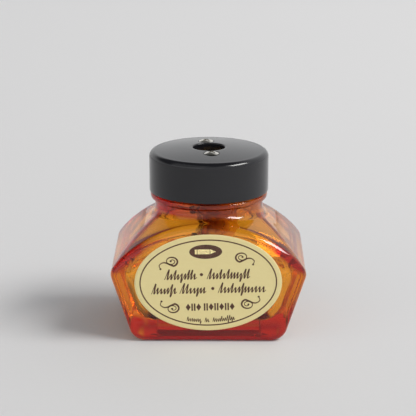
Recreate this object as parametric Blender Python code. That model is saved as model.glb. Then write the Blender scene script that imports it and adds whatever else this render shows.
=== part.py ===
"""An inkwell pencil sharpener: a small house-shaped glass bottle that catches the shavings, and a screw
lid with a pencil hole, under which a brass sharpener hangs on two screws. Run it inside Blender 4.5.
Sizes are in metres, +Z is up, and the origin is the centre of the bottle's base. The front is at -Y."""

from math import acos, asin, atan2, cos, pi, radians, sin, sqrt

import bmesh
import bpy
from mathutils import Matrix, Vector

MM = 0.001

# Bottle: an outline seen from the front and run through from front to back, with a low hipped roof over
# its arched shoulder that leads up to the neck
BODY_HALF_DEPTH = 17.8 * MM
BASE_HALF = 18.95 * MM  # where the leaning sides would meet the table
SIDE_LEAN = radians(18.4)
SHOULDER_TOP = 30.1 * MM
SHOULDER_RADIUS = 31.7 * MM
CORNER_RADIUS = 4.0 * MM
RIDGE_RADIUS = 2.8 * MM
ARRIS_RADIUS = 1.8 * MM
HIP_SLOPE = 0.268
HIP_HALF_WIDTH = 24.6 * MM  # where the roof starts on the left and right
HIP_FROM = (15.0 * MM, 22.0 * MM)  # heights between which the roof fades in
WALL = 2.6 * MM
FLOOR = 4.2 * MM
INNER_CORNER_RADIUS = 6.0 * MM
INNER_RIDGE_RADIUS = 5.4 * MM
INNER_ARRIS_RADIUS = 5.0 * MM

# Neck
NECK_RADIUS = 13.85 * MM
NECK_ROOT = 24.1 * MM  # where the neck's outside starts, hidden in the shoulder
NECK_BORE = 10.8 * MM
BORE_ROOT = 22.1 * MM
BEAD_RADIUS = 15.0 * MM
BEAD_Z = (33.45 * MM, 35.0 * MM)
BEAD_ROUND = 0.65 * MM
BEAD_CHAMFER = 0.25 * MM
FINISH_RADIUS = 12.1 * MM
RIM_Z = 43.0 * MM
RIM_ROUND = 0.4 * MM

# Screw thread that the neck and the lid share
LEAD = 3.2 * MM
NECK_THREAD_CREST = 12.95 * MM
NECK_THREAD_START = 36.9 * MM
NECK_THREAD_TURNS = 1.4
LID_THREAD_CREST = 12.55 * MM
LID_THREAD_TURNS = 1.25
THREAD_ROOT_WIDTH = 1.1 * MM
THREAD_CREST_WIDTH = 0.5 * MM
THREAD_BITE = 0.25 * MM  # how far a ridge's foot is sunk into the wall that carries it
THREAD_FADE = 0.12  # turns over which each end of a ridge runs out into the wall

# Lid
LID_RADIUS = 15.25 * MM
LID_BOTTOM = 35.3 * MM
LID_TOP = 46.5 * MM
LID_CROWN = 0.85 * MM  # how far the slightly domed top falls from its middle to its edge
LID_EDGE_RADIUS = 1.5 * MM
LID_LIP_CHAMFER = 0.3 * MM
LID_INSIDE_RADIUS = 13.5 * MM
LID_CEILING = 44.3 * MM
PENCIL_HOLE = 4.1 * MM
SEAL_RADII = (10.9 * MM, 13.1 * MM)
SEAL_Z = (43.3 * MM, 44.0 * MM)

# Sharpener: a round brass bar with two flats, hung under the lid and turned a little to the front
SHARPENER_YAW = radians(6.4)
BAR_RADIUS = 8.9 * MM
BAR_HALF_THICKNESS = 6.1 * MM
BAR_TOP = 44.0 * MM
BAR_BOTTOM = 17.5 * MM
CONE_TOP = 39.0 * MM
CONE_APEX = 15.0 * MM
SEAT_DEPTH = 0.25 * MM  # the blade's seat is milled this far past the cone, which opens it to the blade
SEAT_TOP = 38.6 * MM
WINDOW_DEPTH = 3.4 * MM
WINDOW_WIDTH = 10.0 * MM
WINDOW_OUTER_DEPTH = 0.6 * MM
WINDOW_OVERLAP = 0.1 * MM
WINDOW_TOP = 31.6 * MM

# Blade and the screw that holds it
BLADE_SIZE = (8.4 * MM, 19.5 * MM, 1.0 * MM)  # across, along, thick
BLADE_LIFT = 0.3 * MM
BLADE_EDGE_PAST_AXIS = 0.4 * MM
BLADE_BEVEL = 0.7 * MM
BLADE_TOP_GAP = 0.4 * MM
BLADE_SCREW_ACROSS = 4.7 * MM
BLADE_SCREW_HEAD = (2.1 * MM, 1.1 * MM)  # radius, height
BLADE_SCREW_EDGE = 0.3 * MM
BLADE_SCREW_SHANK = (1.15 * MM, 4.4 * MM)
BLADE_SCREW_CLEARANCE = 0.25 * MM
BLADE_SCREW_SLOT = (0.6 * MM, 0.5 * MM)  # width, depth

# The two screws through the lid
LID_SCREW_RADIUS = 6.6 * MM
LID_SCREW_HEAD = 1.85 * MM
LID_SCREW_SHANK = 0.95 * MM
LID_SCREW_CONE = 0.95 * MM
LID_SCREW_DOME = 0.5 * MM
LID_SCREW_LENGTH = 7.0 * MM
SCREW_TIP = 0.5 * MM
SCREW_TIP_SHARE = 0.6
LID_SCREW_CLEARANCE = 0.25 * MM
CROSS_WIDTH = 0.5 * MM
CROSS_REACH = 1.15 * MM
CROSS_DEPTH = 0.7 * MM

# Label
LABEL_HALF = (18.5 * MM, 12.6 * MM)
LABEL_Z = 15.76 * MM
LABEL_TILT = radians(1.35)
LABEL_THICKNESS = 0.15 * MM
LABEL_GAP = 0.05 * MM

OVERRUN = 1.0 * MM  # how far a cutter runs past what it cuts
LONG_OVERRUN = 3.0 * MM
CUTTER_REACH = (12.0 * MM, 30.0 * MM, 8.0 * MM)

ROUND_SEGMENTS = 64
BORE_SEGMENTS = 48
SMALL_SEGMENTS = 24
CORNER_STEPS = 5
RIDGE_STEPS = 6
ARCH_STEPS = 22
ARRIS_STEPS = 5
SLICE_GAP = 0.4 * MM
FLAT_ENOUGH = 0.001 * MM
SHARP_ANGLE = radians(35)


def clear_scene():
    for old in list(bpy.data.objects):
        bpy.data.objects.remove(old)


def material(name, colour, roughness, metallic=0.0, transmission=0.0):
    made = bpy.data.materials.new(name)
    made.use_nodes = True
    shader = made.node_tree.nodes["Principled BSDF"]
    shader.inputs["Base Color"].default_value = (*colour, 1.0)
    shader.inputs["Roughness"].default_value = roughness
    shader.inputs["Metallic"].default_value = metallic
    shader.inputs["Transmission Weight"].default_value = transmission
    return made


def add_object(name, mesh_builder, finish=None, parent=None):
    """An object from a bmesh, with its normals facing out."""
    bmesh.ops.recalc_face_normals(mesh_builder, faces=mesh_builder.faces)
    mesh = bpy.data.meshes.new(name)
    mesh_builder.to_mesh(mesh)
    mesh_builder.free()
    mesh.shade_smooth()
    mesh.set_sharp_from_angle(angle=SHARP_ANGLE)
    made = bpy.data.objects.new(name, mesh)
    bpy.context.scene.collection.objects.link(made)
    made.parent = parent
    if finish:
        mesh.materials.append(finish)
    return made


def boolean(target, tool, operation):
    """Joins or cuts target with a helper object, which then doesn't show."""
    tool.hide_render = True
    tool.display_type = "WIRE"
    step = target.modifiers.new(f"{operation.lower()}_{tool.name}", "BOOLEAN")
    step.operation = operation
    step.object = tool
    step.solver = "EXACT"


def loft(rings, closed_round=False):
    """A closed body through rings of equally many points. It is capped unless the last ring meets the first."""
    made = bmesh.new()
    loops = [[made.verts.new(point) for point in ring] for ring in rings]
    count = len(rings[0])
    followers = loops[1:] + (loops[:1] if closed_round else [])
    for loop, after in zip(loops, followers):
        for i in range(count):
            j = (i + 1) % count
            made.faces.new((loop[i], loop[j], after[j], after[i]))
    if not closed_round:
        made.faces.new(loops[0])
        made.faces.new(loops[-1])
    return made


def turned(profile, segments, hollow=False):
    """A body turned about Z from (radius, height) points. A hollow one has a closed profile off the axis,
    and a solid one has a profile from the lower end to the upper, and flat ends."""
    angles = [2 * pi * i / segments for i in range(segments)]
    rings = [[Vector((r * cos(a), r * sin(a), z)) for a in angles] for r, z in profile]
    return loft(rings, closed_round=hollow)


def arc(centre, radius, start, end, steps):
    """Points of an arc in a plane, from one angle to another."""
    cx, cy = centre
    turns = [start + (end - start) * i / steps for i in range(steps + 1)]
    return [(cx + radius * cos(t), cy + radius * sin(t)) for t in turns]


def house_outline(wall, floor, corner, ridge, inset):
    """The bottle's front outline as (x, z) points: a flat base, leaning sides and one arched shoulder,
    with rounded corners and ridges. It lies wall inside the outer faces, and inset shrinks its arcs."""
    side_offset = BASE_HALF * cos(SIDE_LEAN) - wall
    corner_z = floor + corner
    corner_x = (side_offset - corner + corner_z * sin(SIDE_LEAN)) / cos(SIDE_LEAN)
    arch_centre = Vector((0.0, SHOULDER_TOP - SHOULDER_RADIUS))
    arch_radius = SHOULDER_RADIUS - wall
    foot = Vector((cos(SIDE_LEAN), -sin(SIDE_LEAN))) * (side_offset - ridge) - arch_centre
    along = Vector((sin(SIDE_LEAN), cos(SIDE_LEAN)))
    reach = foot.dot(along)
    climb = -reach + sqrt(reach**2 - foot.length_squared + (arch_radius - ridge) ** 2)
    to_ridge = foot + along * climb
    ridge_centre = arch_centre + to_ridge
    arch_start = atan2(to_ridge.y, to_ridge.x)
    right = arc((corner_x, corner_z), corner - inset, -pi / 2, -SIDE_LEAN, CORNER_STEPS)
    right += arc(ridge_centre, ridge - inset, -SIDE_LEAN, arch_start, RIDGE_STEPS)
    arch = arc(arch_centre, arch_radius - inset, arch_start, pi - arch_start, ARCH_STEPS)[1:-1]
    left = [(-x, z) for x, z in reversed(right)]
    return right + arch + left


def roof_height(x, y, z):
    """How far the shoulder is raised over its arch. The front and the sides of the roof slope alike, so its
    hips run diagonally from the ridges' ends up to the neck."""
    low, high = HIP_FROM
    share = min(max((z - low) / (high - low), 0.0), 1.0)
    inward = min(BODY_HALF_DEPTH - abs(y), HIP_HALF_WIDTH - abs(x))
    return HIP_SLOPE * max(inward, 0.0) * share * share * (3 - 2 * share)


def fold_outwards(mesh_builder):
    """Splits each four-sided face that isn't flat along its higher diagonal, which makes the hips crisp."""
    for face in list(mesh_builder.faces):
        if len(face.verts) != 4:
            continue
        a, b, c, d = face.verts
        normal = (b.co - a.co).cross(c.co - a.co).normalized()
        if abs(normal.dot(d.co - a.co)) < FLAT_ENOUGH:
            continue
        ends = (a, c) if a.co.z + c.co.z > b.co.z + d.co.z else (b, d)
        bmesh.utils.face_split(face, *ends)


def house_body(half_depth, arris, **outline):
    """The house outline run through in depth, with both of its outer edges rounded and its shoulder raised
    into the roof."""
    turns = [pi / 2 * i / ARRIS_STEPS for i in range(ARRIS_STEPS + 1)]
    slices = [(half_depth - arris * (1 - cos(turn)), arris * (1 - sin(turn))) for turn in turns]
    across = {round(abs(x), 7) for x, z in house_outline(inset=0.0, **outline) if z > HIP_FROM[1]}
    hip_depths = sorted(x - HIP_HALF_WIDTH + BODY_HALF_DEPTH for x in across)
    middle = [y for y in hip_depths if 0 < y < half_depth - arris - SLICE_GAP]
    depths = [(-y, inset) for y, inset in slices] + [(-y, 0.0) for y in reversed(middle)]
    depths += [(0.0, 0.0)] + [(y, 0.0) for y in middle] + list(reversed(slices))
    rings = []
    for y, inset in depths:
        points = house_outline(inset=inset, **outline)
        rings.append([Vector((x, y, z + roof_height(x, y, z))) for x, z in points])
    made = loft(rings)
    fold_outwards(made)
    return made


def thread_ridge(crest, wall_radius, start, turns, outward):
    """A helical ridge on a wall of wall_radius, from height start. Its ends fade into the wall."""
    steps = round(turns * ROUND_SEGMENTS)
    bite = -THREAD_BITE if outward else THREAD_BITE
    rings = []
    for i in range(steps + 1):
        turn = turns * i / steps
        rise = min(1.0, turn / THREAD_FADE, (turns - turn) / THREAD_FADE)
        middle = start + LEAD * turn
        tip = wall_radius + bite / 2 + (crest - wall_radius - bite / 2) * rise
        section = (
            (wall_radius + bite, middle - THREAD_ROOT_WIDTH / 2),
            (tip, middle - THREAD_CREST_WIDTH / 2),
            (tip, middle + THREAD_CREST_WIDTH / 2),
            (wall_radius + bite, middle + THREAD_ROOT_WIDTH / 2),
        )
        angle = 2 * pi * turn
        rings.append([Vector((r * cos(angle), r * sin(angle), z)) for r, z in section])
    return loft(rings)


def box_of(low, high):
    """A box between two corners."""
    made = bmesh.new()
    bmesh.ops.create_cube(made, size=1.0)
    size = Vector(high) - Vector(low)
    bmesh.ops.scale(made, vec=size, verts=made.verts)
    bmesh.ops.translate(made, vec=(Vector(high) + Vector(low)) / 2, verts=made.verts)
    return made


def prism(outline, low, high):
    """An outline of (x, y) points, run up from one height to another."""
    return loft([[Vector((x, y, z)) for x, y in outline] for z in (low, high)])


def make_bottle(parent):
    glass = material("amber_glass", (0.8, 0.25, 0.03), 0.03, transmission=1.0)
    outer = house_body(
        BODY_HALF_DEPTH,
        ARRIS_RADIUS,
        wall=0.0,
        floor=0.0,
        corner=CORNER_RADIUS,
        ridge=RIDGE_RADIUS,
    )
    bottle = add_object("glass_bottle", outer, glass, parent)
    bead_low, bead_high = BEAD_Z
    profile = [(NECK_RADIUS, NECK_ROOT), (NECK_RADIUS, bead_low)]
    profile += arc((BEAD_RADIUS - BEAD_ROUND, bead_low + BEAD_ROUND), BEAD_ROUND, -pi / 2, 0, 4)
    profile += [(BEAD_RADIUS, bead_high - BEAD_CHAMFER), (BEAD_RADIUS - BEAD_CHAMFER, bead_high)]
    profile += [(FINISH_RADIUS, bead_high)]
    rim = (FINISH_RADIUS - RIM_ROUND, RIM_Z - RIM_ROUND)
    profile += arc(rim, RIM_ROUND, 0, pi / 2, 3)
    boolean(bottle, add_object("neck_outside", turned(profile, ROUND_SEGMENTS)), "UNION")
    ridge = thread_ridge(
        NECK_THREAD_CREST, FINISH_RADIUS, NECK_THREAD_START, NECK_THREAD_TURNS, outward=True
    )
    boolean(bottle, add_object("neck_thread", ridge), "UNION")
    cavity = house_body(
        BODY_HALF_DEPTH - WALL,
        INNER_ARRIS_RADIUS,
        wall=WALL,
        floor=FLOOR,
        corner=INNER_CORNER_RADIUS,
        ridge=INNER_RIDGE_RADIUS,
    )
    boolean(bottle, add_object("bottle_cavity", cavity), "DIFFERENCE")
    bore = [(NECK_BORE, BORE_ROOT), (NECK_BORE, RIM_Z + OVERRUN)]
    boolean(bottle, add_object("neck_bore", turned(bore, ROUND_SEGMENTS)), "DIFFERENCE")


def make_label(parent):
    paper = material("cream_paper", (0.76, 0.66, 0.31), 0.7)
    angles = [2 * pi * i / ROUND_SEGMENTS for i in range(ROUND_SEGMENTS)]
    tilt = Matrix.Rotation(-LABEL_TILT, 3, "Y")
    back = -BODY_HALF_DEPTH - LABEL_GAP
    rings = []
    for y in (back - LABEL_THICKNESS, back):
        ring = [tilt @ Vector((LABEL_HALF[0] * cos(a), 0, LABEL_HALF[1] * sin(a))) for a in angles]
        rings.append([point + Vector((0, y, LABEL_Z)) for point in ring])
    add_object("front_label", loft(rings), paper, parent)


def edge_start():
    """The radius at which the lid's domed top meets its rounded edge."""
    return LID_RADIUS - LID_EDGE_RADIUS


def crown_radius():
    """The radius of the sphere that the lid's top is part of."""
    return (edge_start() ** 2 + LID_CROWN**2) / (2 * LID_CROWN)


def screw_plane():
    """The height of the lid's top where its two screws are."""
    crown = crown_radius()
    return LID_TOP - crown + sqrt(crown**2 - LID_SCREW_RADIUS**2)


def make_lid(parent):
    plastic = material("black_plastic", (0.02, 0.02, 0.022), 0.25)
    crown = crown_radius()
    profile = [(PENCIL_HOLE, LID_CEILING)]
    profile += arc((0, LID_TOP - crown), crown, acos(PENCIL_HOLE / crown), acos(edge_start() / crown), 4)
    edge = (edge_start(), LID_TOP - LID_CROWN - LID_EDGE_RADIUS)
    profile += arc(edge, LID_EDGE_RADIUS, pi / 2, 0, 6)[1:]
    profile += [(LID_RADIUS, LID_BOTTOM + LID_LIP_CHAMFER)]
    profile += [(LID_RADIUS - LID_LIP_CHAMFER, LID_BOTTOM)]
    profile += [(LID_INSIDE_RADIUS, LID_BOTTOM), (LID_INSIDE_RADIUS, LID_CEILING)]
    lid = add_object("screw_lid", turned(profile, ROUND_SEGMENTS, hollow=True), plastic, parent)
    ridge = thread_ridge(
        LID_THREAD_CREST,
        LID_INSIDE_RADIUS,
        NECK_THREAD_START - LEAD / 2 + THREAD_CREST_WIDTH,
        LID_THREAD_TURNS,
        outward=False,
    )
    boolean(lid, add_object("lid_thread", ridge), "UNION")
    hole = LID_SCREW_SHANK + LID_SCREW_CLEARANCE
    mouth = LID_SCREW_HEAD + LID_SCREW_CLEARANCE
    top = screw_plane()
    sink = [(hole, LID_CEILING - OVERRUN), (hole, top - LID_SCREW_CONE - LID_SCREW_CLEARANCE / 2)]
    sink += [(mouth, top), (mouth, LID_TOP + OVERRUN)]
    for name, side in (("front", -1), ("back", 1)):
        cutter = turned(sink, SMALL_SEGMENTS)
        bmesh.ops.translate(cutter, vec=(0, side * LID_SCREW_RADIUS, 0), verts=cutter.verts)
        boolean(lid, add_object(f"lid_{name}_screw_hole", cutter, parent=parent), "DIFFERENCE")


def make_seal(parent):
    foam = material("seal_foam", (0.75, 0.73, 0.68), 0.9)
    inside, outside = SEAL_RADII
    low, high = SEAL_Z
    profile = [(inside, low), (inside, high), (outside, high), (outside, low)]
    add_object("lid_seal", turned(profile, ROUND_SEGMENTS, hollow=True), foam, parent)


def cone_slope():
    """The angle between the cutting cone's side and its axis."""
    return atan2(PENCIL_HOLE, CONE_TOP - CONE_APEX)


def blade_frame():
    """The blade's own axes: x across the blade, y up along it and z out of its face. The origin is on the
    seat, in line with the cone's axis, at the seat's upper end."""
    slope = cone_slope()
    along = Vector((-sin(slope), 0, cos(slope)))
    out = Vector((-cos(slope), 0, -sin(slope)))
    across = along.cross(out)
    seat_x = -(PENCIL_HOLE * (SEAT_TOP - CONE_APEX) / (CONE_TOP - CONE_APEX) - SEAT_DEPTH)
    frame = Matrix((across, along, out)).transposed().to_4x4()
    frame.translation = Vector((seat_x, 0, SEAT_TOP))
    return frame


def make_sharpener(parent):
    brass = material("brass", (0.80, 0.60, 0.25), 0.35, metallic=1.0)
    frame = blade_frame()
    reach = asin(BAR_HALF_THICKNESS / BAR_RADIUS)
    outline = arc((0, 0), BAR_RADIUS, -pi / 2 - reach, -pi / 2 + reach, 12)
    outline += arc((0, 0), BAR_RADIUS, pi / 2 - reach, pi / 2 + reach, 12)
    bar = add_object("sharpener_body", prism(outline, BAR_BOTTOM, BAR_TOP), brass, parent)
    tip = PENCIL_HOLE * (BAR_BOTTOM - OVERRUN - CONE_APEX) / (CONE_TOP - CONE_APEX)
    bore = [(tip, BAR_BOTTOM - OVERRUN), (PENCIL_HOLE, CONE_TOP), (PENCIL_HOLE, BAR_TOP + OVERRUN)]
    boolean(bar, add_object("pencil_bore", turned(bore, BORE_SEGMENTS), parent=parent), "DIFFERENCE")

    wide, long, deep = CUTTER_REACH
    seat = box_of((-wide, -long, 0), (wide, WINDOW_OVERLAP, deep))
    bmesh.ops.transform(seat, matrix=frame, verts=seat.verts)
    boolean(bar, add_object("blade_seat", seat, parent=parent), "DIFFERENCE")

    # Shavings leave through a ramp beside the cutting edge, on the side that the blade leaves free.
    drop = (SEAT_TOP - WINDOW_TOP) / cos(cone_slope())
    ramp = loft(
        [
            [
                Vector((-WINDOW_OVERLAP, y, -WINDOW_DEPTH)),
                Vector((WINDOW_WIDTH, y, -WINDOW_OUTER_DEPTH)),
                Vector((WINDOW_WIDTH, y, LONG_OVERRUN)),
                Vector((-WINDOW_OVERLAP, y, LONG_OVERRUN)),
            ]
            for y in (-drop, -long)
        ]
    )
    bmesh.ops.transform(ramp, matrix=frame, verts=ramp.verts)
    boolean(bar, add_object("shavings_window", ramp, parent=parent), "DIFFERENCE")

    hole = BLADE_SCREW_SHANK[0] + BLADE_SCREW_CLEARANCE
    socket = turned([(hole, -BLADE_SCREW_SHANK[1] - SCREW_TIP), (hole, LONG_OVERRUN)], SMALL_SEGMENTS)
    bmesh.ops.transform(socket, matrix=frame @ blade_screw_place(), verts=socket.verts)
    boolean(bar, add_object("blade_screw_socket", socket, parent=parent), "DIFFERENCE")

    hole = LID_SCREW_SHANK + LID_SCREW_CLEARANCE
    for name, side in (("front", -1), ("back", 1)):
        depth = screw_plane() - LID_SCREW_LENGTH - SCREW_TIP
        socket = turned([(hole, depth), (hole, BAR_TOP + OVERRUN)], SMALL_SEGMENTS)
        bmesh.ops.translate(socket, vec=(0, side * LID_SCREW_RADIUS, 0), verts=socket.verts)
        boolean(bar, add_object(f"{name}_screw_socket", socket, parent=parent), "DIFFERENCE")


def blade_screw_place():
    """The blade screw's place in the blade's frame: beside the cone, half-way along the blade."""
    return Matrix.Translation((-BLADE_SCREW_ACROSS, -BLADE_SIZE[1] / 2, 0))


def make_blade(parent):
    steel = material("blade_steel", (0.55, 0.55, 0.56), 0.25, metallic=1.0)
    frame = blade_frame()
    across, along, thick = BLADE_SIZE
    low, high = BLADE_LIFT, BLADE_LIFT + thick
    edge = BLADE_EDGE_PAST_AXIS
    section = ((edge, low), (edge - BLADE_BEVEL, high), (edge - across, high), (edge - across, low))
    ends = (-BLADE_TOP_GAP - along, -BLADE_TOP_GAP)
    rings = [[Vector((x, y, z)) for x, z in section] for y in ends]
    plate = loft(rings)
    bmesh.ops.transform(plate, matrix=frame, verts=plate.verts)
    blade = add_object("sharpener_blade", plate, steel, parent)
    hole = BLADE_SCREW_SHANK[0] + BLADE_SCREW_CLEARANCE
    cutter = turned([(hole, -OVERRUN), (hole, LONG_OVERRUN)], SMALL_SEGMENTS)
    bmesh.ops.transform(cutter, matrix=frame @ blade_screw_place(), verts=cutter.verts)
    boolean(blade, add_object("blade_hole", cutter, parent=parent), "DIFFERENCE")

    screw_steel = material("screw_steel", (0.62, 0.61, 0.58), 0.3, metallic=1.0)
    head_radius, head_height = BLADE_SCREW_HEAD
    shank_radius, shank_length = BLADE_SCREW_SHANK
    seat = high + BLADE_SCREW_CLEARANCE
    top = seat + head_height
    profile = [(shank_radius, -shank_length), (shank_radius, seat), (head_radius, seat)]
    profile += [(head_radius, top - BLADE_SCREW_EDGE), (head_radius - BLADE_SCREW_EDGE, top)]
    body = turned(profile, SMALL_SEGMENTS)
    bmesh.ops.transform(body, matrix=frame @ blade_screw_place(), verts=body.verts)
    screw = add_object("blade_screw", body, screw_steel, parent)
    width, depth = BLADE_SCREW_SLOT
    slot = box_of((-LONG_OVERRUN, -width / 2, top - depth), (LONG_OVERRUN, width / 2, top + OVERRUN))
    bmesh.ops.transform(slot, matrix=frame @ blade_screw_place(), verts=slot.verts)
    boolean(screw, add_object("blade_screw_slot", slot, parent=parent), "DIFFERENCE")


def cross_outline(reach, width):
    """A plus sign of (x, y) points, turned 45 degrees."""
    half = width / 2
    arm = [(half, -half), (reach, -half), (reach, half)]
    turns = [Matrix.Rotation(pi / 4 + pi / 2 * i, 2) for i in range(4)]
    return [tuple(turn @ Vector(point)) for turn in turns for point in arm]


def make_lid_screw(name, side, parent):
    nickel = material(f"{name}_nickel", (0.72, 0.69, 0.62), 0.2, metallic=1.0)
    dome_radius = (LID_SCREW_HEAD**2 + LID_SCREW_DOME**2) / (2 * LID_SCREW_DOME)
    half_angle = asin(LID_SCREW_HEAD / dome_radius)
    rim = screw_plane()
    centre = (0, rim + LID_SCREW_DOME - dome_radius)
    profile = [(LID_SCREW_SHANK * SCREW_TIP_SHARE, rim - LID_SCREW_LENGTH)]
    profile += [(LID_SCREW_SHANK, rim - LID_SCREW_LENGTH + SCREW_TIP)]
    profile += [(LID_SCREW_SHANK, rim - LID_SCREW_CONE)]
    profile += arc(centre, dome_radius, pi / 2 - half_angle, pi / 2 - half_angle / 5, 4)
    body = turned(profile, SMALL_SEGMENTS)
    place = (0, side * LID_SCREW_RADIUS, 0)
    bmesh.ops.translate(body, vec=place, verts=body.verts)
    screw = add_object(name, body, nickel, parent)
    top = rim + LID_SCREW_DOME
    cross = prism(cross_outline(CROSS_REACH, CROSS_WIDTH), top - CROSS_DEPTH, top + OVERRUN)
    bmesh.ops.translate(cross, vec=place, verts=cross.verts)
    boolean(screw, add_object(f"{name}_cross", cross, parent=parent), "DIFFERENCE")


def main():
    clear_scene()
    bottle_frame = bpy.data.objects.new("bottle_frame", None)
    lid_axis = bpy.data.objects.new("lid_axis", None)
    for empty in (bottle_frame, lid_axis):
        bpy.context.scene.collection.objects.link(empty)
    lid_axis.parent = bottle_frame
    make_bottle(bottle_frame)
    make_label(bottle_frame)
    make_seal(lid_axis)
    make_lid(lid_axis)
    make_sharpener(lid_axis)
    make_blade(lid_axis)
    make_lid_screw("lid_screw_front", -1, lid_axis)
    make_lid_screw("lid_screw_back", 1, lid_axis)
    lid_axis.rotation_euler.z = SHARPENER_YAW


main()
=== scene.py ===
"""The looks of the amber inkwell pencil sharpener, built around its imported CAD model. Sizes in the
constants are in millimetres, and meshes are made in metres. The front is at -Y and +Z is up."""

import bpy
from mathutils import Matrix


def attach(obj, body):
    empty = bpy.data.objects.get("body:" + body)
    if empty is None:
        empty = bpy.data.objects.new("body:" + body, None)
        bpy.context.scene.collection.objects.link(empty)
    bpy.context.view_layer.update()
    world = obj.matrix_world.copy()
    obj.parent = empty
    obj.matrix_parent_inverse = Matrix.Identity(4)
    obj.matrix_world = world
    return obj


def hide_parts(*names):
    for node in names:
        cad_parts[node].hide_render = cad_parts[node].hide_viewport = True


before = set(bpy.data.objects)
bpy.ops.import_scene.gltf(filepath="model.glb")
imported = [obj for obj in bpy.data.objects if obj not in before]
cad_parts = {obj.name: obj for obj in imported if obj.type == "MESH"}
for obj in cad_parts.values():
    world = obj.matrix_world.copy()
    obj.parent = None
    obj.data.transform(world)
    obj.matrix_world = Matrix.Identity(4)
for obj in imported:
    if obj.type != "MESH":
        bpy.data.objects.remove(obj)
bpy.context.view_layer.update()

import random
from math import acos, asin, atan2, cos, hypot, pi, radians, sin, sqrt

import bmesh
import bpy
import numpy as np
from mathutils import Matrix, Vector

MM = 0.001

# Bottle outline, the same as the CAD part's
BODY_HALF_DEPTH = 17.8
BASE_HALF = 18.95
SIDE_LEAN = radians(18.4)
SHOULDER_TOP = 30.1
SHOULDER_RADIUS = 31.7
HIP_SLOPE = 0.268
HIP_HALF_WIDTH = 24.6
HIP_FROM = (15.0, 22.0)
HIP_ROUND = 1.0
CORNER_RADIUS = 4.0
RIDGE_RADIUS = 2.8
ARRIS_RADIUS = 1.8
WALL = 2.6
FACE_WALL = 2.6
FLOOR = 4.2
INNER_CORNER_RADIUS = 6.0
INNER_RIDGE_RADIUS = 5.4
INNER_ARRIS_RADIUS = 5.0

# Neck and its thread
NECK_ROOT = SHOULDER_TOP - 8
NECK_RADIUS = 13.85
NECK_BORE = 10.8
NECK_FILLET = 1.5
BORE_FILLET = 1.8
BEAD_RADIUS = 15.0
BEAD_Z = (33.45, 35.0)
BEAD_ROUND = 0.65
FINISH_RADIUS = 12.1
RIM_Z = 43.0
RIM_ROUND = 0.6
LEAD = 3.2
NECK_THREAD_RISE = 0.85
NECK_THREAD_START = 36.9
NECK_THREAD_TURNS = 1.4
LID_THREAD_TURNS = 1.25
LID_THREAD_CREST = 12.55
THREAD_ROOT_WIDTH = 1.1
THREAD_CREST_WIDTH = 0.5
THREAD_FADE = 0.12

# How the glass is meshed and how uneven it is
GLASS_PITCH = 0.35
GLASS_INSET = 0.02
BASE_HOLLOW = (13.2, 12.2, 0.4)  # half width, half depth and height of the hollow under the base
BASE_HOLLOW_CORNER = 4.0
BASE_HOLLOW_ROUND = 0.3

# Amber coat on the glass, and painted shade in it: a deeper red along the hips, edges, neck and foot,
# standing in for the darkening that thick glass, refraction and shade give there; 0 on the faces, 1 where
# the painted shade is darkest
COAT_THIN = ((0.86, 0.33, 0.015), (0.89, 0.38, 0.025))
PAINTED_SHADE_RED = (0.32, 0.001, 0.004)
GLASS_TINT = (0.95, 0.64, 0.0, 1.0)
GLASS_DENSITY = 35
RIDGE_Z = 17.5
RIDGE_FADE = 2
# Painted shade along the hips, larger on the left, away from the key light
HIP_SHADE = (6.5, 0.25)  # its width at the ridge, and how much it narrows for each millimetre inwards
HIP_SHADE_GAIN = 1.4
HIP_SHADE_MIDDLE = 0.55  # the hips' share at x = 0, which is larger on the left
HIP_SHADE_SLOPE = 0.06
HIP_SHADE_LEAST = 0.2
EDGE_SHADE = (1.1, 3.0)  # its width below the ridge and above
EDGE_SHADE_GAIN = 2
EDGE_SHADE_FROM = 11.0  # how far from the middle it begins
EDGE_SHADE_FADE = 6
FOOT_SHADE = (4.2, 6.4, 19.2)  # full up to the first height, gone at the second, and its half width
FOOT_SHADE_MIDDLE = 0.5
FOOT_SHADE_FADE = 2.5
NECK_SHADE = (30.0, 0.88)  # where it begins, and its share at x = 0
NECK_SHADE_FADE = 1.5
NECK_SHADE_SLOPE = 0.012
FINISH_SHADE_FADE = 4
FINISH_SHADE_LEAST = 0.3

# Lid, bar, blade and screws, the same as the CAD part's
LID_RADIUS = 15.25
LID_BOTTOM = 35.3
LID_TOP = 46.5
LID_CROWN = 0.85
LID_EDGE_RADIUS = 1.5
LID_LIP_ROUND = 0.3
LID_INSIDE_RADIUS = 13.5
LID_CEILING = 44.3
PENCIL_HOLE = 4.1
HOLE_LIP = 0.3
SEAL_RADII = (10.9, 13.1)
SEAL_Z = (43.3, 44.0)
SHARPENER_YAW = radians(6.4)
BAR_RADIUS = 8.9
BAR_HALF_THICKNESS = 6.1
BAR_TOP = 44.0
BAR_BOTTOM = 17.5
CONE_TOP = 39.0
CONE_APEX = 15.0
SEAT_DEPTH = 0.25
SEAT_TOP = 38.6
WINDOW_DEPTH = 3.4
WINDOW_TOP = 31.6
BLADE_SIZE = (8.4, 19.5, 1.0)
BLADE_LIFT = 0.3
BLADE_EDGE_PAST_AXIS = 0.4
BLADE_BEVEL = 0.7
BLADE_SCREW_ACROSS = 4.7
BLADE_SCREW_HEAD = (2.1, 1.1)
BLADE_SCREW_SHANK = (1.15, 4.4)
SCREW_CLEARANCE = 0.25
BLADE_SCREW_SLOT = (0.6, 0.5)
LID_SCREW_RADIUS = 6.6
LID_SCREW_HEAD = 1.85
LID_SCREW_SHANK = 0.95
LID_SCREW_CONE = 0.95
LID_SCREW_DOME = 0.49
LID_SCREW_LENGTH = 7.0
CROSS_WIDTH = 0.5
CROSS_REACH = 1.15
CROSS_DEPTH = 0.7

# Label
LABEL_HALF = (18.5, 12.6)
LABEL_Z = 15.76
LABEL_TILT = radians(1.35)
PAPER_FRONT = 17.975  # how far the paper's face is in front of the bottle's axis
PAPER_THICKNESS = 0.12
INK_LAYER = (0.002, 0.019)  # the ink's foot and face above the paper
ICON_LAYERS = ((0.002, 0.010), (0.0105, 0.019))  # the oval's, and the pencil's on top of it

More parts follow.
